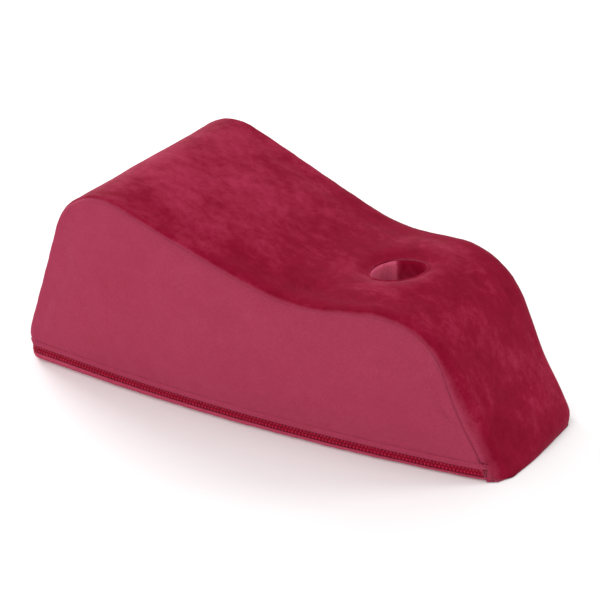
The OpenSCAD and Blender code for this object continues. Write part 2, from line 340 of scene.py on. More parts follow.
# ---------- materials
class Nodes:
    """Short names for building a material."""

    def __init__(self, name):
        self.mat = bpy.data.materials.new(name)
        self.mat.use_nodes = True
        self.t = self.mat.node_tree
        self.bsdf = self.t.nodes["Principled BSDF"]
        self.coord = self.t.nodes.new("ShaderNodeTexCoord").outputs["Object"]

    def add(self, kind, **values):
        n = self.t.nodes.new(kind)
        for k, v in values.items():
            setattr(n, k, v)
        return n

    def link(self, a, b):
        self.t.links.new(a, b)

    def mapped(self, scale, rotation=(0, 0, 0)):
        m = self.add("ShaderNodeMapping")
        m.inputs["Scale"].default_value = scale
        m.inputs["Rotation"].default_value = rotation
        self.link(self.coord, m.inputs["Vector"])
        return m.outputs[0]

    def noise(self, scale, detail=3, rough=0.5, vector=None, distortion=0.0):
        n = self.add("ShaderNodeTexNoise")
        n.inputs["Scale"].default_value = scale
        n.inputs["Detail"].default_value = detail
        n.inputs["Roughness"].default_value = rough
        n.inputs["Distortion"].default_value = distortion
        self.link(vector or self.coord, n.inputs["Vector"])
        return n.outputs["Fac"]

    def ramp(self, fac, *stops):
        r = self.add("ShaderNodeValToRGB")
        e = r.color_ramp.elements
        while len(e) < len(stops):
            e.new(0.5)
        for k, (pos, col) in enumerate(stops):
            e[k].position = pos
            e[k].color = (*col, 1) if len(col) == 3 else (col[0], col[0], col[0], 1)
        self.link(fac, r.inputs[0])
        return r.outputs[0]

    def mix(self, fac, a, b, mode="MIX"):
        m = self.add("ShaderNodeMix", data_type="RGBA", blend_type=mode)
        if isinstance(fac, float):
            m.inputs[0].default_value = fac
        else:
            self.link(fac, m.inputs[0])
        for socket, v in ((m.inputs[6], a), (m.inputs[7], b)):
            if isinstance(v, tuple):
                socket.default_value = (*v, 1)
            else:
                self.link(v, socket)
        return m.outputs[2]

    def math(self, op, a, b):
        m = self.add("ShaderNodeMath", operation=op)
        for socket, v in ((m.inputs[0], a), (m.inputs[1], b)):
            if isinstance(v, (int, float)):
                socket.default_value = v
            else:
                self.link(v, socket)
        return m.outputs[0]

    def bump(self, height, strength, distance):
        b = self.add("ShaderNodeBump")
        b.inputs["Strength"].default_value = strength
        b.inputs["Distance"].default_value = distance
        self.link(height, b.inputs["Height"])
        self.link(b.outputs[0], self.bsdf.inputs["Normal"])

    def set(self, **values):
        for k, v in values.items():
            self.bsdf.inputs[k.replace("_", " ")].default_value = v


def srgb(*c):
    return tuple((v / 255 / 12.92) if v / 255 <= 0.04045 else ((v / 255 + 0.055) / 1.055) ** 2.4 for v in c)


def plush(name, dark, mid, light, patch, sheen, side=None):
    """Short pile: brushed patches, fine flecks, a soft rim of light and a fuzzy surface.

    Given a side colour, cloth that turns to a side takes that paler colour: painted light and shade by which
    way the surface faces."""
    m = Nodes(name)
    stretched = m.mapped((1.0, 1.25, 1.0), (0, 0, 0.5))
    broad = m.noise(16, 5, 0.62, stretched, 0.35)
    brushed = m.noise(75, 4, 0.7, stretched, 0.3)
    flecks = m.noise(620, 2, 0.75)
    pile = m.noise(1900, 2, 0.5)
    nap = m.math("ADD", m.math("MULTIPLY", broad, 0.62), m.math("MULTIPLY", brushed, 0.38))
    if name == "plush_pocket_painted_light":
        # Painted light and shade: the half of the lining and floor towards the rear and the near side is
        # made paler, as if lit by the back lamp, and the other half is left dark.
        place = m.add("ShaderNodeSeparateXYZ")
        m.link(m.coord, place.inputs[0])
        along_x = m.math("MULTIPLY", place.outputs[0], 0.845)
        along_y = m.math("MULTIPLY", place.outputs[1], 0.535)
        across = m.math("ADD", along_x, along_y)
        across = m.math("ADD", across, m.math("MULTIPLY", m.math("SUBTRACT", brushed, 0.5), 0.01))
        nap = m.math("ADD", nap, m.ramp(across, (0.0985, (0.34,)), (0.1035, (0.0,))))
        nap = m.math("SUBTRACT", nap, 0.1)
    if side:
        place = m.add("ShaderNodeSeparateXYZ")
        m.link(m.coord, place.inputs[0])
        # Painted sheen and shade by place: paler over the rear shoulder, darker in the saddle and darker
        # towards the seams along both sides.
        length = m.math("ADD", place.outputs[0], 0.5)
        rear = m.ramp(length, (0.30, (0.15,)), (0.44, (0.12,)), (0.54, (0.01,)), (0.64, (0.035,)))
        edge = m.ramp(m.math("ABSOLUTE", place.outputs[1], 0.0), (0.06, (0.0,)), (0.12, (0.06,)))
        nap = m.math("SUBTRACT", m.math("ADD", nap, m.math("SUBTRACT", rear, 0.035)), edge)
    base = m.ramp(nap, (0.5 - patch, dark), (0.5, mid), (0.5 + patch, light))
    # Painted light and shade: cloth facing sideways takes the side's paler colour, cloth facing up keeps the
    # darker top colours.
    if side:
        split = m.add("ShaderNodeSeparateXYZ")
        m.link(m.add("ShaderNodeNewGeometry").outputs["Normal"], split.inputs[0])
        side_facing_painted_light = m.math("ABSOLUTE", split.outputs[1], 0.0)
        side_facing_painted_light = m.math("ADD", side_facing_painted_light, m.math("MULTIPLY", m.math("SUBTRACT", brushed, 0.5), 0.25))
        base = m.mix(m.ramp(side_facing_painted_light, (0.52, (0.0,)), (0.88, (1.0,))), base, side)
    lift = m.ramp(flecks, (0.35, (0.9,)), (0.7, (1.1,)))
    colour = m.mix(1.0, base, lift, "MULTIPLY")
    grain = m.ramp(pile, (0.3, (0.92,)), (0.7, (1.06,)))
    colour = m.mix(1.0, colour, grain, "MULTIPLY")
    m.link(colour, m.bsdf.inputs["Base Color"])
    rough = m.ramp(brushed, (0.3, (0.95,)), (0.7, (0.78,)))
    m.link(rough, m.bsdf.inputs["Roughness"])
    m.set(Sheen_Weight=sheen, Sheen_Roughness=0.35, Sheen_Tint=(1.0, 0.45, 0.6, 1), Specular_IOR_Level=0.05)
    height = m.math("ADD", m.math("MULTIPLY", pile, 0.5), m.math("MULTIPLY", flecks, 0.5))
    m.bump(height, 0.35, 0.0008)
    return m.mat


def woven(name, colour, dark, scale=1500, rough=0.85):
    """Plain weave: two sets of threads at right angles, with slight colour variation."""
    m = Nodes(name)
    w1 = m.add("ShaderNodeTexWave", wave_type="BANDS", bands_direction="X")
    w2 = m.add("ShaderNodeTexWave", wave_type="BANDS", bands_direction="Z")
    for w in (w1, w2):
        w.inputs["Scale"].default_value = scale / 6.28
        w.inputs["Distortion"].default_value = 0.4
        m.link(m.coord, w.inputs["Vector"])
    threads = m.math("MULTIPLY", w1.outputs["Fac"], w2.outputs["Fac"])
    blotch = m.noise(35, 3, 0.6)
    base = m.ramp(blotch, (0.35, dark), (0.65, colour))
    shade = m.ramp(threads, (0.0, (0.72,)), (0.6, (1.08,)))
    m.link(m.mix(1.0, base, shade, "MULTIPLY"), m.bsdf.inputs["Base Color"])
    m.set(Roughness=rough, Sheen_Weight=0.06, Specular_IOR_Level=0.06)
    m.bump(threads, 0.4, 0.0003)
    return m.mat


def plastic(name, colour, dark, rough=0.55):
    """Dyed moulded or drawn plastic with fine scuffs."""
    m = Nodes(name)
    blotch = m.noise(240, 3, 0.6)
    m.link(m.ramp(blotch, (0.35, dark), (0.65, colour)), m.bsdf.inputs["Base Color"])
    scuff = m.noise(900, 3, 0.7)
    m.link(m.ramp(scuff, (0.35, (rough - 0.1,)), (0.7, (rough + 0.18,))), m.bsdf.inputs["Roughness"])
    m.set(Specular_IOR_Level=0.22)
    m.bump(scuff, 0.12, 0.0002)
    return m.mat


def enamel(name, colour, dark):
    """Dyed enamel on cast metal, worn a little."""
    m = Nodes(name)
    wear = m.noise(700, 4, 0.7)
    m.link(m.ramp(wear, (0.3, dark), (0.62, colour), (0.8, (0.34, 0.2, 0.2))), m.bsdf.inputs["Base Color"])
    m.link(m.ramp(wear, (0.3, (0.3,)), (0.7, (0.5,))), m.bsdf.inputs["Roughness"])
    m.set(Metallic=0.35, Coat_Weight=0.2)
    m.bump(wear, 0.1, 0.0002)
    return m.mat


def foam_stuff():
    """Open-cell foam: pale, matt, finely pitted."""
    m = Nodes("foam")
    cells = m.add("ShaderNodeTexVoronoi")
    cells.inputs["Scale"].default_value = 900
    m.link(m.coord, cells.inputs["Vector"])
    blotch = m.noise(20, 4, 0.6)
    base = m.ramp(blotch, (0.35, (0.80, 0.72, 0.48)), (0.65, (0.88, 0.82, 0.62)))
    # Painted shade: the foam is made darker in the hollows of its cells, where the bump dips.
    pit_painted_shade = m.ramp(cells.outputs["Distance"], (0.1, (0.75,)), (0.5, (1.05,)))
    m.link(m.mix(1.0, base, pit_painted_shade, "MULTIPLY"), m.bsdf.inputs["Base Color"])
    m.set(Roughness=0.95, Specular_IOR_Level=0.1)
    m.bump(cells.outputs["Distance"], 0.5, 0.0006)
    return m.mat


SIDE_COLOUR = srgb(153, 52, 77)
MATS = {
    # The top's colours are darker than the side's: painted shade on the same velvet where it faces up.
    "top": plush("plush_top_painted_shade", srgb(116, 4, 32), srgb(131, 11, 42), srgb(155, 37, 66), 0.2, 0.1, SIDE_COLOUR),
    "side": plush("plush_side", srgb(148, 47, 71), SIDE_COLOUR, srgb(159, 58, 83), 0.35, 0.15),
    # The base's colours are paler than the side's: painted light on the same velvet, for the strip below the
    # zip.
    "base": plush("plush_base_painted_light", srgb(160, 50, 76), srgb(170, 60, 86), srgb(182, 76, 102), 0.35, 0.15),
    "pocket": plush("plush_pocket_painted_light", srgb(134, 8, 40), srgb(160, 34, 66), srgb(212, 90, 122), 0.15, 0.06),
    "tape": woven("zip_tape", srgb(150, 2, 42), srgb(132, 0, 34)),
    "teeth": plastic("zip_teeth", srgb(166, 2, 52), srgb(146, 0, 40)),
    "thread": woven("thread", srgb(112, 4, 32), srgb(92, 0, 24), 5000),
    "metal": enamel("zip_enamel", srgb(120, 14, 40), srgb(96, 6, 28)),
    "liner": woven("liner", (0.72, 0.72, 0.69), (0.62, 0.62, 0.6), 2200),
    "foam": foam_stuff(),
}


# ---------- shared surfaces
OUT_COLS = 18
RINGS = 9
MOUTH = (28.0, 32.6)
MOUTH_POWER = 1.8
MOUTH_GROW = 2.6
MOUTH_TURN = math.radians(-39)
MOUTH_SHIFT = 4.5
MOUTH_SHIFT_TURN = math.radians(135)


def opening_radius(phi, grow=0.0, blend=0.0):
    """The pocket's mouth from above: an oval drawn to soft points on a slant; blend 1 is round."""
    c, s = np.abs(np.cos(phi - MOUTH_TURN)), np.abs(np.sin(phi - MOUTH_TURN))
    a, b, e = MOUTH[0] + grow, MOUTH[1] + grow, MOUTH_POWER
    r = ((c / a) ** e + (s / b) ** e) ** (-1 / e) + MOUTH_SHIFT * np.cos(phi - MOUTH_SHIFT_TURN)
    return r * (1 - blend) + (POCKET_R + 0.6 + grow) * blend


def from_mouth(v):
    """Distance in plan from the mouth's edge."""
    x, y = v[:, 0] - POCKET_X, v[:, 1]
    return np.hypot(x, y) - opening_radius(np.arctan2(y, x), MOUTH_GROW)


def round_pocket(r, phi, z):
    """Points at radius r and angle phi about the pocket's axis."""
    return np.stack([POCKET_X + r * np.cos(phi), r * np.sin(phi), z], -1)


def crown_s(x):
    """Arc length along the spine's top at a distance from the rear face."""
    top = (SPINE.p[:, 1] > 120) & (SPINE.p[:, 0] > 300)
    return np.interp(x, SPINE.p[top, 0], SPINE.s[top])


def top_grid(low=None, mouth_grow=MOUTH_GROW):
    """The top panel from seam to seam with the pocket's mouth open: points, faces, mouth loop, angles."""
    s, first = spine_points(low)
    out = 1 - (1 - np.linspace(0, 1, OUT_COLS + 1)[1:]) ** 1.7
    mid = np.linspace(-1, 1, PATCH_CELLS + 1)
    half = seam_a(s)
    rows = []
    for h in half:
        reach = PATCH * min(1.0, h / (PATCH * 1.25))
        right = reach + (h - reach) * out
        rows.append(np.r_[-right[::-1], mid * reach, right])
    a = np.array(rows)
    verts = top_point(s[:, None], a).reshape(-1, 3)
    cols = a.shape[1]
    c0 = OUT_COLS
    faces = [f[::-1] for f in grid_faces(
        len(s), cols, 0, lambda i, j: first <= i < first + PATCH_CELLS and c0 <= j < c0 + PATCH_CELLS)]
    n = PATCH_CELLS
    loop = [(first, c0 + k) for k in range(n)] + [(first + k, c0 + n) for k in range(n)]
    loop += [(first + n, c0 + n - k) for k in range(n)] + [(first + n - k, c0) for k in range(n)]
    ids = [i * cols + j for i, j in loop]
    outer = verts[ids][:, :2]
    phi = np.arctan2(outer[:, 1], outer[:, 0] - POCKET_X)
    r = opening_radius(phi, mouth_grow)
    inner = np.stack([POCKET_X + r * np.cos(phi), r * np.sin(phi)], -1)
    t = np.linspace(0, 1, RINGS + 1)[1:, None, None]
    t = 1 - (1 - t) ** 1.3
    flat = (outer[None] * (1 - t) + inner[None] * t).reshape(-1, 2)
    ring = top_point(crown_s(flat[:, 0]), flat[:, 1])
    start = len(verts)
    verts = np.vstack([verts, ring])
    m = len(ids)
    rows = [ids] + [list(range(start + k * m, start + (k + 1) * m)) for k in range(RINGS)]
    for p, q in zip(rows[:-1], rows[1:]):
        faces += [(p[k], q[k], q[(k + 1) % m], p[(k + 1) % m]) for k in range(m)]
    return verts, faces, (len(s), cols), phi, ring[-m:]


UPPER_ROWS = 36
# Heights above the lower edge of the rows that carry the fold and the stitched line.
LOW_ROWS = np.array([12, 9.8, 8.4, 7.5, 6.9, 6.4, 5.9, 5.2, 4.2, 3.0, 2.0, 1.0, 0.0])
SIDE_ROWS = UPPER_ROWS + len(LOW_ROWS) - 1


def side_grid(side, low=None):
    """A side panel from the seam down to its lower edge."""
    s, _ = spine_points(low)
    seam = SPINE.at(s) - normals(s) * seam_drop(s)[:, None]
    u = (s - s[0]) / (s[-1] - s[0])
    x = np.interp(u, [0, 0.04, 0.22, 0.75, 0.97, 1], [seam[0, 0], seam[0, 0] + 3, 92, 515, 592, seam[-1, 0]])
    foot = np.stack([x, hem_z(x) if low is None else np.full_like(x, low)], -1)
    cut = np.minimum(LOW_ROWS[0] / np.linalg.norm(seam - foot, axis=1).clip(1e-6), 0.3)
    f = 1 - np.cos(np.pi / 2 * np.linspace(0, 1, UPPER_ROWS + 1)[:-1])
    f = np.vstack([f[:, None] * (1 - cut), 1 - LOW_ROWS[:, None] / LOW_ROWS[0] * cut])[..., None]
    xz = (seam[None] * (1 - f) + foot[None] * f).reshape(-1, 2)
    pts = np.stack([xz[:, 0], side * side_y(xz, low), xz[:, 1]], -1)
    faces = grid_faces(SIDE_ROWS + 1, len(s))
    return pts, ([g[::-1] for g in faces] if side > 0 else faces), len(s)


def tree_of(points):
    tree = KDTree(len(points))
    for k, q in enumerate(points):
        tree.insert(q, k)
    tree.balance()
    return tree


def nearest_spine(xz):
    """Distance to the spine and the arc length of its nearest point."""
    s = np.linspace(0, SPINE.length, 1600)
    tree = tree_of([(x, 0, z) for x, z in SPINE.at(s)])
    found = [tree.find((x, 0, z)) for x, z in xz]
    return np.array([hit[2] for hit in found]), s[[hit[1] for hit in found]]


def side_y(xz, low=None):
    """Distance of the side from the centre plane at points (x, z)."""
    d, s = nearest_spine(xz)
    x = xz[:, 0]
    r = edge_radius(s)
    t = np.clip(d / r, 0, 1)
    y = wide(x) - r + r * np.sqrt(1 - (1 - t) ** 2)
    foot = hem_z(x) if low is None else low
    # The foam swells a little behind the panel, and not at the seam or the hem.
    return y + 2.0 * smooth(d, 0, 60) * smooth(xz[:, 1], foot, foot + 70)


# ---------- swelling by cloth simulation
SWELL_CAP = 5.0
SWELL_PRESSURE = 4
SWELL_FRAMES = 20
VOXEL = 0.006
HELD_BELOW = 0.012


def closed_body(inset, low=3.0):
    """The whole cushion as one closed form with the pocket's bore: verts and faces, welded."""
    tv, tf, (rows, cols), phi, mouth = top_grid(low, 5.4)
    parts = [(tv, tf)]
    feet = []
    for side in (-1, 1):
        v, f, n = side_grid(side, low)
        parts.append((v, f))
        feet.append(v[-n:])
    edge = tv[:cols, 1] / np.abs(tv[:cols, 1]).max()
    near, far = feet
    t = ((edge + 1) / 2)[None, :, None]
    under = near[:, None] * (1 - t) + far[:, None] * t
    parts.append((under.reshape(-1, 3), grid_faces(rows, cols)))
    v, f = bore_wall(phi, mouth[:, 2], 5.4)
    parts.append((v, f))
    return weld(parts, inset)


def bore_wall(phi, top_z, grow, bottom=POCKET_FLOOR):
    """A tube down from the mouth, going from oval to round, closed by a floor."""
    rows = []
    for t in (0, 0.03, 0.08, 0.16, 0.28, 0.42, 0.58, 0.74, 0.88, 1):
        r = opening_radius(phi, grow, smooth(t, 0.0, 0.3))
        rows.append(round_pocket(r, phi, top_z * (1 - t) + bottom * t))
    for k in (0.75, 0.5, 0.25):
        q = rows[9].copy()
        q[:, 0] = POCKET_X + (q[:, 0] - POCKET_X) * k
        q[:, 1] *= k
        rows.append(q)
    n = len(phi)
    v = np.vstack(rows + [[[POCKET_X, 0, bottom]]])
    f = [g[::-1] for g in grid_faces(len(rows), n, 0, None, True)]
    last = (len(rows) - 1) * n
    f += [(last + (k + 1) % n, last + k, len(v) - 1)[::-1] for k in range(n)]
    return v, f


def behind_toe(co):
    """Draws what is inside the cover back from its corners and lower front edge."""
    k, rear = max(0.0, co.x - 565.0), max(0.0, 22.0 - co.x)
    return Vector((co.x - 0.22 * k + 0.12 * rear, co.y * (1 - 0.0042 * k - 0.0016 * rear), max(co.z, 2.8)))


def gather(parts, reach):
    """All parts in one bmesh, welded where they come within reach."""
    bm = bmesh.new()
    for v, f in parts:
        vs = [bm.verts.new(q) for q in v]
        for g in f:
            if len(set(g)) > 2:
                bm.faces.new([vs[k] for k in g])
    bmesh.ops.remove_doubles(bm, verts=bm.verts, dist=reach)
    return bm


def drawn_in(bm, inset):
    """The form moved inward along its normals: verts and faces."""
    for v, co in [(v, v.co - v.normal * inset) for v in bm.verts]:
        v.co = behind_toe(co)
    bm.verts.index_update()
    verts = np.array([v.co[:] for v in bm.verts])
    faces = [tuple(v.index for v in g.verts) for g in bm.faces]
    bm.free()
    return verts, faces


def weld(parts, inset):
    """One closed form, drawn inward by inset."""
    bm = gather(parts, 1.0)
    bmesh.ops.holes_fill(bm, edges=bm.edges, sides=0)
    bmesh.ops.recalc_face_normals(bm, faces=bm.faces)
    if bm.calc_volume(signed=True) < 0:
        bmesh.ops.reverse_faces(bm, faces=bm.faces)
    bm.normal_update()
    return drawn_in(bm, inset)


def weld_open(parts, inset):
    """One open shell, drawn inward by inset."""
    bm = gather(parts, 0.8)
    bmesh.ops.recalc_face_normals(bm, faces=bm.faces)
    bm.normal_update()
    up = sum(v.normal.z for v in bm.verts) > 0
    return drawn_in(bm, inset if up else -inset)


def swell_field():
    """Inflates the body as cloth and returns (tree of points, movement) in mm, with every move capped."""
    v, f = closed_body(1.0)
    me = bpy.data.meshes.new("swell")
    me.from_pydata([tuple(q) for q in to_frame(v)], [], f)
    o = bpy.data.objects.new("swell", me)
    bpy.context.scene.collection.objects.link(o)
    bpy.context.view_layer.objects.active = o
    m = o.modifiers.new("voxels", "REMESH")
    m.mode = "VOXEL"
    m.voxel_size = VOXEL
    deps = bpy.context.evaluated_depsgraph_get()
    solid = bpy.data.meshes.new_from_object(o.evaluated_get(deps))
    o.modifiers.clear()
    o.data = solid
    n = len(solid.vertices)
    rest = np.empty(n * 3)
    solid.vertices.foreach_get("co", rest)
    rest = rest.reshape(-1, 3)
    pin = o.vertex_groups.new(name="held")
    low = [int(k) for k in np.where(rest[:, 2] < HELD_BELOW)[0]]
    pin.add(low, 1.0, "REPLACE")
    c = o.modifiers.new("cloth", "CLOTH")
    c.settings.quality = 4
    c.settings.mass = 0.3
    c.settings.tension_stiffness = 12
    c.settings.compression_stiffness = 12
    c.settings.shear_stiffness = 6
    c.settings.bending_stiffness = 0.6
    c.settings.use_pressure = True
    c.settings.uniform_pressure_force = SWELL_PRESSURE
    c.settings.vertex_group_mass = "held"
    c.settings.effector_weights.gravity = 0
    c.collision_settings.use_collision = False
    scene = bpy.context.scene
    for k in range(1, SWELL_FRAMES + 1):
        scene.frame_set(k)
    deps = bpy.context.evaluated_depsgraph_get()
    moved = np.empty(n * 3)
    o.evaluated_get(deps).to_mesh().vertices.foreach_get("co", moved)
    move = moved.reshape(-1, 3) - rest
    scene.frame_set(1)
    bpy.data.objects.remove(o)
    size = np.linalg.norm(move, axis=1, keepdims=True)
    move *= np.minimum(1, SWELL_CAP * MM / np.maximum(size, 1e-9))
    rest = rest / MM
    rest[:, 0] += CENTRE
    return tree_of(rest), move / MM


FIELD = swell_field()


def swollen(v, n, keep):
    """v moved out along its normals by the simulated swelling, times keep."""
    if FIELD is None:
        return v
    tree, move = FIELD
    out = v.copy()
    for k, q in enumerate(v):
        if keep[k] <= 0:
            continue
        near = tree.find_n(q, 6)
        wts = np.array([1 / (d + 1.0) for _, _, d in near])
        push = (move[[i for _, i, _ in near]] * wts[:, None]).sum(0) / wts.sum()
        out[k] += keep[k] * max(0.0, push @ n[k]) * n[k]
    return out


# ---------- the cover
STITCH_UP = 6.4


def cloth_noise(v, amount=0.7):
    """The cloth's small unevenness, in mm."""
    return amount * wobble(v, 62, 2.1) + 0.35 * amount * wobble(v, 21, 7.7)


def vertex_normals(v, f):
    n = np.zeros_like(v)
    for g in f:
        a, b, c = v[g[0]], v[g[1]], v[g[2]]
        d = v[g[3]] if len(g) > 3 else c
        k = np.cross(c - a, d - b) if len(g) > 3 else np.cross(b - a, c - a)
        for q in g:
            n[q] += k
    return n / np.maximum(np.linalg.norm(n, axis=1, keepdims=True), 1e-9)


def groove(d, depth, width):
    """Depth of a soft groove at a distance from its line."""
    return depth * np.exp(-(d / width) ** 2)


def seam_depth(x):
    """The seam sinks less down the front, and not at all at the toe."""
    return (1 - 0.5 * smooth(x, 470, 530)) * (1 - smooth(x, 565, 590))


def pucker(along, amount):
    """Small gathers along a seam."""
    return amount * (np.sin(along / 2.1) * 0.35 + np.sin(along / 5.3 + 1.3) * 0.65)


def build_top():
    v, f, (rows, cols), _, _ = top_grid()
    n = vertex_normals(v, f)
    if n[cols * 60 + cols // 2][2] < 0:
        n = -n
    s, _ = spine_points()
    # Distance of every grid point to the seam, and of ring points to the mouth.
    edge = np.full(len(v), 60.0)
    g = v[:rows * cols].reshape(rows, cols, 3)
    step = np.linalg.norm(np.diff(g, axis=1), axis=2)
    from_left = np.concatenate([np.zeros((rows, 1)), np.cumsum(step, axis=1)], axis=1)
    edge[:rows * cols] = np.minimum(from_left, from_left[:, -1:] - from_left).ravel()
    along = np.full(len(v), 0.0)
    along[:rows * cols] = np.repeat(s, cols)
    hem = np.abs(v[:, 2] - (hem_z(0) + STITCH_UP)) + np.where(v[:, 0] < 60, 0, 99)
    mouth_d = from_mouth(v)
    keep = (0.25 + 0.35 * smooth(v[:, 0], 120, 260)) * smooth(edge, 0, 14) * smooth(v[:, 2], 18, 50)
    keep *= smooth(mouth_d, 0, 24)
    v2 = swollen(v, n, keep)
    lift = cloth_noise(v) * smooth(edge, 0, 12) * smooth(mouth_d, 0, 10)
    lift -= groove(edge, 0.9, 1.2) * seam_depth(v[:, 0])
    lift += 0.4 * np.exp(-((edge - 5.5) / 3.5) ** 2)
    lift += pucker(along, 0.35) * np.exp(-(edge / 7) ** 2)
    lift -= groove(hem, 0.55, 1.5)
    # The cloth dips softly into the mouth.
    lift -= 2.2 * np.exp(-(np.maximum(mouth_d, 0) / 7) ** 2)
    toe = (1 - smooth(v[:, 2], 30, 75)) * (v[:, 0] > 400)
    bulge = 4.0 * toe * (smooth(edge, 4, 60) - 0.1) * smooth(v[:, 2], -3, 13) * (1 + 0.2 * wobble(v, 40, 9))
    ahead = n * (1, 1, 0.3)
    v2 = v2 + n * lift[:, None] + ahead * bulge[:, None]
    v2[:, 2] = np.maximum(v2[:, 2], 0.6)
    o = make("cover_top", v2, f, "cushion", MATS["top"])
    thicken(o, 1.6)
    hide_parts("cover_top_panel")


def build_side(side, name, node):
    v, f, cols = side_grid(side)
    n = vertex_normals(v, f)
    if (n[:, 1] * side).mean() < 0:
        n = -n
    rows = SIDE_ROWS + 1
    g = v.reshape(rows, cols, 3)
    step = np.linalg.norm(np.diff(g, axis=0), axis=2)
    down = np.concatenate([np.zeros((1, cols)), np.cumsum(step, axis=0)], axis=0)
    edge = down.ravel()
    along = np.tile(spine_points()[0], rows)
    above = v[:, 2] - hem_z(v[:, 0])
    back = 1 - smooth(v[:, 0], 583, 592)
    keep = smooth(edge, 0, 14) * smooth(above, 6, 40)
    v2 = swollen(v, n, keep)
    lift = cloth_noise(v, 0.55) * smooth(edge, 0, 12) * smooth(above, 0, 14)
    lift -= groove(edge, 0.9, 1.2) * seam_depth(v[:, 0])
    lift += 0.3 * np.exp(-((edge - 5) / 3.0) ** 2)
    lift += pucker(along + 3, 0.3) * np.exp(-(edge / 6) ** 2)
    lift -= groove(above - STITCH_UP, 1.0, 1.1) * back
    lift += 0.6 * np.exp(-((above - 2.2) / 2.0) ** 2) * back
    lift += pucker(v[:, 0], 0.22) * np.exp(-((above - STITCH_UP) / 4.0) ** 2) * back
    v2 = v2 + n * lift[:, None]
    top = v2[:cols] - n[:cols] * 1.6
    foot = v2[-cols:].copy()
    fold = []
    for dz, dy in ((-0.25, 0.4), (-0.2, 1.2)):
        q = foot.copy()
        q[:, 2] += dz * (1 - smooth(q[:, 0], 583, 590))
        q -= n[-cols:] * dy
        fold.append(q)
    v2 = np.vstack([top, v2] + fold)
    v2[:, 2] = np.maximum(v2[:, 2], 1.6)
    f = grid_faces(rows + 3, cols)
    f = [q[::-1] if side > 0 else q for q in f if v2[list(q), 0].min() < 598]
    o = make(name, v2, f, "cushion", MATS["side"])
    thicken(o, 1.4)
    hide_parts(node)


def ring_of(phi, grow, lift):
    """A ring that follows the mouth, lifted off the crest's surface."""
    r = opening_radius(phi, grow)
    base = top_point(crown_s(POCKET_X + r * np.cos(phi)), r * np.sin(phi))[:, 2]
    return round_pocket(r, phi, base + lift)


LINING_ROWS = 26
DISC_ROWS = 14
RIM_POINTS = 96


def pocket_piece(name, rows, mat, caps=()):
    """Closed rings one after another as a piece of the cover."""
    f = grid_faces(len(rows), len(rows[0]), 0, None, True)
    return make(name, np.vstack(rows), f + list(caps), "cushion", MATS[mat])


def build_pocket():
    phi = np.linspace(0, 2 * np.pi, RIM_POINTS, endpoint=False)
    tug = 0.25 * np.sin(phi * 23) + 0.2 * np.sin(phi * 9 + 1)
    # The turned edge's section: out from the mouth, and down from the crest.
    lip = [(3.6, -2.9), (2.6, -2.2), (1.7, -1.6), (0.9, -1.35),
           (0.3, -1.7), (0.1, -2.6), (0.4, -4.5), (0.8, -7.0)]
    o = pocket_piece("pocket_lip", [ring_of(phi, grow, dz + 0.5 * tug) for grow, dz in lip], "top")
    thicken(o, 1.2)
    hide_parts("pocket_rim")
    top_z = ring_of(phi, 0.4, -3.4)[:, 2]
    rows = []
    for t in np.linspace(0, 1, LINING_ROWS):
        r = opening_radius(phi, 0.25 + 0.6 * t, smooth(t, 0, 0.3))
        folds = 0.8 * np.sin(phi * 11 + 2 * t) * smooth(t, 0.02, 0.25) + 0.4 * np.sin(phi * 5 - 3 * t)
        r = r - np.abs(folds) * 0.8 * (1 - t * 0.4)
        rows.append(round_pocket(r, phi, top_z * (1 - t) + (POCKET_FLOOR + 0.4) * t))
    o = pocket_piece("pocket_lining", rows, "pocket")
    thicken(o, 1.4)
    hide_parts("pocket_sleeve")
    rows = []
    for k in np.linspace(1, 0.04, DISC_ROWS):
        r = (POCKET_R + 0.6) * k
        z = POCKET_FLOOR + 0.5 * np.cos(phi * 3) * k * (1 - k) + 0.8 * (1 - k)
        rows.append(round_pocket(r, phi, z))
    centre = tuple(range((DISC_ROWS - 1) * RIM_POINTS, DISC_ROWS * RIM_POINTS))
    o = pocket_piece("pocket_disc", rows, "pocket", [centre])
    thicken(o, 1.4)
    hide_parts("pocket_floor")


# ---------- inside: foam and liner
UNDER_COLS = 41


def build_inside():
    v, f = closed_body(4.6, 3.4)
    o = make("foam_block", v, f, "cushion", MATS["foam"])
    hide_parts("foam_core")
    tv, tf, (rows, _), _, _ = top_grid(3.0, 5.0)
    parts = [(tv, tf)]
    feet = []
    for side in (-1, 1):
        v, f, n = side_grid(side, 3.0)
        parts.append((v, f))
        feet.append(v[-n:])
    bm_v, bm_f = weld_open(parts, 3.2)
    o = make("liner_cloth", bm_v, bm_f, "cushion", MATS["liner"])
    thicken(o, 0.8)
    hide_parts("liner_shell")
    t = np.linspace(0, 1, UNDER_COLS)[None, :, None]
    for q in feet:
        q[:, 0] = np.clip(q[:, 0], 6, LENGTH - 4)
        q[:, 1] -= np.sign(q[:, 1]) * 5.6
    near, far = feet
    under = (near[:, None] * (1 - t) + far[:, None] * t).reshape(-1, 3)
    under[:, 2] = 2.7 + 0.25 * wobble(under, 30, 5)
    o = make("liner_underside", under, grid_faces(rows, UNDER_COLS), "cushion", MATS["liner"])
    thicken(o, 0.5)
    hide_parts("liner_base")
    phi = np.linspace(0, 2 * np.pi, 64, endpoint=False)
    z = ring_of(phi, 3.4, -6)[:, 2]
    v, f = bore_wall(phi, z, 3.2, POCKET_FLOOR - 2.2)
    o = make("liner_tube", v, f, "cushion", MATS["liner"])
    thicken(o, 0.7, 1)
    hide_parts("liner_sleeve")


# ---------- border, base and zip
def zip_line(near_end, far_end):
    """The outline in plan that the zip follows: near front end, rear, far front end."""
    near, far = [np.vstack([OUTLINE[OUTLINE[:, 0] < end], [end, half_width(end)]])
                 for end in (near_end, far_end)]
    return Path(np.vstack([near[::-1] * (1, -1), far]))


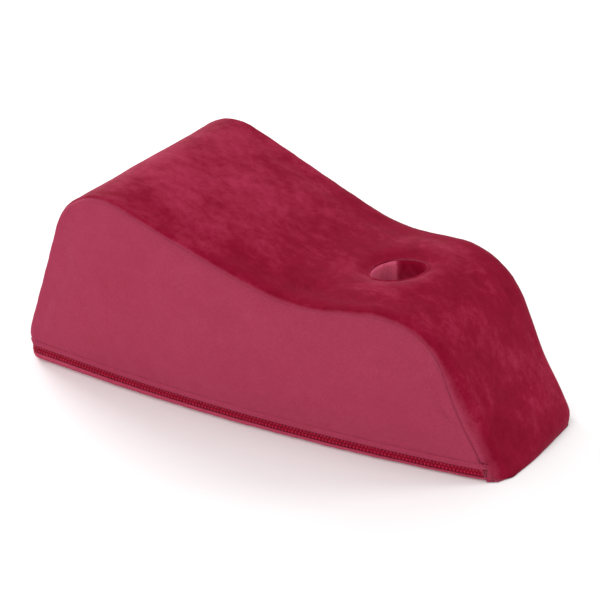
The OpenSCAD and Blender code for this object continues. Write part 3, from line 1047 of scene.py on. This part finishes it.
def along(path, s, out, z):
    """Points beside the outline: s along it, out from it, z above the zip's centre line."""
    p = path.at(s)
    t = path.tangent(s, 1.0)
    n = np.stack([t[:, 1], -t[:, 0]], -1)
    q = p + n * np.broadcast_to(out, s.shape)[:, None] * -1
    return np.stack([q[:, 0], q[:, 1], zip_z(p[:, 0]) + z], -1), t, -n


def build_border():
    path = zip_line(ZIP_NEAR_END + 2.4, ZIP_FAR_END + 2.4)
    s = np.linspace(0, path.length, 420)
    p = path.at(s)
    top = zip_z(p[:, 0]) - 5.2
    section = [(-2.2, 0.98), (-1.0, 1.0), (-0.1, 0.97), (0.25, 0.84), (0.2, 0.66), (-0.5, 0.47),
               (-1.8, 0.29), (-3.6, 0.14), (-5.6, 0.05), (-7.6, 0.02)]
    wave = 0.25 * np.sin(s / 9.0) + 0.2 * np.sin(s / 23.0 + 1)
    rows = []
    for out, f in section:
        q, _, _ = along(path, s, out + wave * (0.2 < f < 0.9), 0.0)
        q[:, 2] = np.maximum(f * top, 0.35) + 0.15 * np.sin(s / 3.1) * (0.2 < f < 0.95)
        rows.append(q)
    faces = grid_faces(len(rows), len(s))
    o = make("base_border", np.vstack(rows), faces, "base_flap", MATS["base"])
    thicken(o, 1.2, -1)
    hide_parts("cover_border")


def build_base():
    rows, cols = 90, 45
    x = np.linspace(7.0, LENGTH - 6.0, rows)
    inset = 7.2 - 2.0 * smooth(x, 578, 600)
    w = half_width(x) - inset
    t = np.linspace(-1, 1, cols)
    v = np.stack([np.repeat(x, cols), (w[:, None] * t[None]).ravel(), np.zeros(rows * cols)], -1)
    v[:, 2] = 1.4 + 0.12 * (1 + wobble(v, 26, 4))
    o = make("base_cloth", v, [g[::-1] for g in grid_faces(rows, cols)], "base_flap", MATS["base"])
    thicken(o, 1.2, -1)
    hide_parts("cover_base_panel")


def tooth(rings=6, sides=8):
    """A rounded bar along z, 4.7 long, 3 by 1.8 across, centred."""
    v = []
    for k in range(rings):
        t = k / (rings - 1) * 2 - 1
        fat = math.sqrt(max(0.12, 1 - abs(t) ** 3.2))
        for j in range(sides):
            a = 2 * math.pi * (j + 0.5) / sides
            v.append((1.5 * math.cos(a) * fat, 0.9 * math.sin(a) * fat, 2.35 * t))
    v = np.array(v)
    f = grid_faces(rings, sides, 0, None, True)
    f += [tuple(range(sides))[::-1], tuple(range((rings - 1) * sides, rings * sides))]
    return v, f


def copies(path, s, shape, faces, out, z, tilt=0.0):
    """One mesh of many small shapes set along the path."""
    q, t, n = along(path, s, out, z)
    c, k = math.cos(tilt), math.sin(tilt)
    x = shape[:, 0] * c - shape[:, 2] * k
    zz = shape[:, 0] * k + shape[:, 2] * c
    v = np.zeros((len(s), len(shape), 3))
    v[:, :, :2] = q[:, None, :2] + t[:, None] * x[None, :, None] + n[:, None] * shape[None, :, 1, None]
    v[:, :, 2] = q[:, None, 2] + zz
    m = len(shape)
    f = [tuple(i + k * m for i in g) for k in range(len(s)) for g in faces]
    return v.reshape(-1, 3), f


TOOTH_PITCH = 4.1
THREAD_PITCH = 3.0
STITCH_PITCH = 4.2


def build_zip():
    path = zip_line(ZIP_NEAR_END, ZIP_FAR_END)
    count = int(path.length / TOOTH_PITCH)
    shape, faces = tooth()
    for sign, half, body in ((1, "upper", "cushion"), (-1, "lower", "base_flap")):
        s = (np.arange(count) + (0.25 if sign > 0 else 0.75)) * TOOTH_PITCH
        v, f = copies(path, s, shape, faces, -0.25, sign * 2.6, math.radians(sign * 12))
        o = make("teeth_" + half, v, f, body, MATS["teeth"])
        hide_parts("zip_coil_" + half)
        # Tape behind the teeth, with a corded edge that the teeth are sewn to.
        ss = np.linspace(0, path.length, 400)
        section = [(-0.75, 0.15), (-0.75, 1.6), (-0.9, 3.6), (-2.2, 5.2), (-2.6, 6.6 if sign < 0 else 11.5)]
        rows = [along(path, ss, out, sign * z)[0] for out, z in section]
        if sign < 0:
            for q in rows:
                q[:, 2] = np.maximum(q[:, 2], 2.6)
        g = grid_faces(len(rows), len(ss))
        g = g if sign < 0 else [q[::-1] for q in g]
        o = make("tape_" + half, np.vstack(rows), g, body, MATS["tape"])
        thicken(o, 0.5, 0)
        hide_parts("zip_tape_" + half)
    shape, faces = stitch_shape(2.6, 0.42)
    s = (np.arange(int(path.length / THREAD_PITCH)) + 0.5) * THREAD_PITCH
    for sign, half, body in ((1, "upper", "cushion"), (-1, "lower", "base_flap")):
        v, f = copies(path, s, shape, faces, 0.5, sign * 4.0, math.radians(sign * 8))
        make("teeth_thread_" + half, v, f, body, MATS["thread"])


def stitch_shape(length, thick, sides=6):
    """One stitch lying along x: thick in the middle, pulled in at both ends."""
    v = []
    for t in (-1, -0.7, 0, 0.7, 1):
        r = thick * (0.55 if abs(t) == 1 else 1.0)
        sink = -0.55 * thick * (t * t)
        for j in range(sides):
            a = 2 * math.pi * j / sides
            v.append((t * length / 2, r * math.cos(a) + sink, r * math.sin(a)))
    f = grid_faces(5, sides, 0, None, True)
    f += [tuple(range(sides))[::-1], tuple(range(4 * sides, 5 * sides))]
    return np.array(v), f


def build_topstitch():
    path = zip_line(ZIP_NEAR_END + 4, ZIP_FAR_END + 4)
    shape, faces = stitch_shape(3.4, 0.42)
    s = (np.arange(int(path.length / STITCH_PITCH)) + 0.5) * STITCH_PITCH
    v, f = copies(path, s, shape, faces, -0.35, CHAIN_EDGE + STITCH_UP)
    # Where the rear face leans in, the row follows it.
    lean = np.interp(v[:, 2], SPINE.p[:12, 1], SPINE.p[:12, 0])
    back = v[:, 0] < 8
    v[back, 0] += lean[back]
    make("hem_stitches", v, f, "cushion", MATS["thread"])


def block(lo, hi, bevel):
    """A box between two corners with rounded edges: verts and faces."""
    bm = bmesh.new()
    bmesh.ops.create_cube(bm, size=1.0)
    lo, hi = Vector(lo), Vector(hi)
    for v in bm.verts:
        v.co = Vector([(lo[k] + hi[k]) / 2 + v.co[k] * (hi[k] - lo[k]) for k in range(3)])
    bmesh.ops.bevel(bm, geom=list(bm.edges), offset=bevel, segments=3, profile=0.5, affect="EDGES")
    bm.verts.index_update()
    v = np.array([q.co[:] for q in bm.verts])
    f = [tuple(q.index for q in g.verts) for g in bm.faces]
    bm.free()
    return v, f


def tube(pts, radius, sides=10):
    """A round bar bent along points in a plane or space."""
    pts = np.array(pts, float)
    v = []
    for k, p in enumerate(pts):
        d = pts[min(k + 1, len(pts) - 1)] - pts[max(k - 1, 0)]
        d /= np.linalg.norm(d)
        a = np.cross(d, (0.0, 0, 1) if abs(d[2]) < 0.9 else (0.0, 1, 0))
        a /= np.linalg.norm(a)
        b = np.cross(d, a)
        for j in range(sides):
            t = 2 * math.pi * j / sides
            v.append(p + radius * (a * math.cos(t) + b * math.sin(t)))
    f = grid_faces(len(pts), sides, 0, None, True)
    f += [tuple(range(sides))[::-1], tuple(range((len(pts) - 1) * sides, len(pts) * sides))]
    return np.array(v), f


def joined(*parts):
    """Several shapes as one."""
    vs, fs, n = [], [], 0
    for v, f in parts:
        vs.append(v)
        fs += [tuple(k + n for k in g) for g in f]
        n += len(v)
    return np.vstack(vs), fs


SLIDER_X = 562.0


def at_slider(v):
    """From the slider's own axes (x rearward, y inward, z up) to the cushion's."""
    a, b = PLAN[3], PLAN[5]
    knot = np.array(PLAN[4][:2], float)
    e1 = knot - np.array(a[:2], float)
    e2 = np.array(b[:2], float) - knot
    e1 /= np.linalg.norm(e1)
    e2 /= np.linalg.norm(e2)
    n1, n2 = np.array((-e1[1], e1[0])), np.array((-e2[1], e2[0]))
    centre = knot + SIDE_R * (n1 + n2) / (1 + n1 @ n2)
    park = math.acos((SLIDER_X - centre[0]) / SIDE_R)
    m = Matrix.Rotation(math.atan(ZIP_FALL), 3, "Y") @ Matrix.Rotation(park + math.pi / 2, 3, "Z")
    org = np.array((SLIDER_X, centre[1] + SIDE_R * math.sin(park), zip_z(SLIDER_X)))
    return org + np.array(v) @ np.array(m).T


def build_slider():
    """The slider's cast body and its pull, on the zip's hidden far side."""
    metal = MATS["metal"]
    plate = block((-6.5, -2.45, -6.2), (6.5, -1.35, 6.2), 0.5)
    lips = [block((-6.0, -1.45, a), (6.0, -0.95, b), 0.15) for a, b in ((-6.2, -5.75), (5.75, 6.2))]
    v, f = joined(plate, *lips)
    o = make("slider_shell", at_slider(v), f, "zip_slider", metal)
    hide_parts("slider_body")
    v, f = block((-1.5, -1.35, -0.2), (1.5, 3.35, 0.2), 0.1)
    o = make("slider_post", at_slider(v), f, "zip_slider", metal)
    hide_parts("slider_wedge")
    v, f = block((-5.5, 3.3, -3), (5.5, 4.3, 3), 0.35)
    o = make("slider_inner_plate", at_slider(v), f, "zip_slider", metal)
    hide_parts("slider_back_plate")
    arch = [(-3.7, -2.2, 0), (-3.7, -3.4, 0), (-3.2, -4.2, 0), (-1.8, -4.75, 0), (0, -4.9, 0),
            (1.8, -4.75, 0), (3.2, -4.2, 0), (3.7, -3.4, 0), (3.7, -2.2, 0)]
    v, f = tube(arch, 0.75, 12)
    o = make("slider_arch", at_slider(v), f, "zip_slider", metal)
    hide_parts("slider_bridge")
    eye = tube([(0, -3.7, -3.3), (0, -3.7, -1.0), (0, -3.7, 1.0), (0, -3.7, 3.3)], 0.6, 12)
    o = make("pull_pin", at_slider(eye[0]), eye[1], "zip_pull", metal)
    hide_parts("pull_eye")
    # The tab: two cheeks beside the arch that run into one leaf with a slot near its end.
    cheeks = [block((-0.9, -4.4, a), (7.0, -3.0, b), 0.3) for a, b in ((-3.5, -1.6), (1.6, 3.5))]
    rails = [block((5.6, -4.4, -3.5), (23, -3.0, 3.5), 0.45)]
    loop = [block((22.4, -4.4, a), (31.6, -3.0, b), 0.4) for a, b in ((-3.5, -1.7), (1.7, 3.5))]
    end = [block((29.6, -4.4, -3.5), (32.0, -3.0, 3.5), 0.45)]
    v, f = joined(*cheeks, *rails, *loop, *end)
    o = make("pull_leaf", at_slider(v), f, "zip_pull", metal)
    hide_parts("pull_tab")


def build_stops():
    near = zip_line(ZIP_NEAR_END + 2.4, ZIP_FAR_END + 2.4)
    for name, node, body, s, lo, hi in (
            ("stop_far_upper", "zip_top_stop_upper", "cushion", near.length - 1.2, 0.4, 4.5),
            ("stop_far_lower", "zip_top_stop_lower", "base_flap", near.length - 1.2, -4.5, -0.4),
            ("stop_near", "zip_bottom_stop", "cushion", 1.2, -4.4, 4.4)):
        shape, faces = block((-1.1, -1.3, lo), (1.1, 0.9, hi), 0.35)
        v, f = copies(near, np.array([s]), shape, faces, 0.0, 0.0)
        o = make(name, v, f, body, MATS["metal"])
        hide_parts(node)


camera()
studio()
build_top()
build_side(-1, "cover_near_side", "cover_near_panel")
build_side(1, "cover_far_side", "cover_far_panel")
build_pocket()
build_inside()
build_border()
build_base()
build_zip()
build_topstitch()
build_slider()
build_stops()
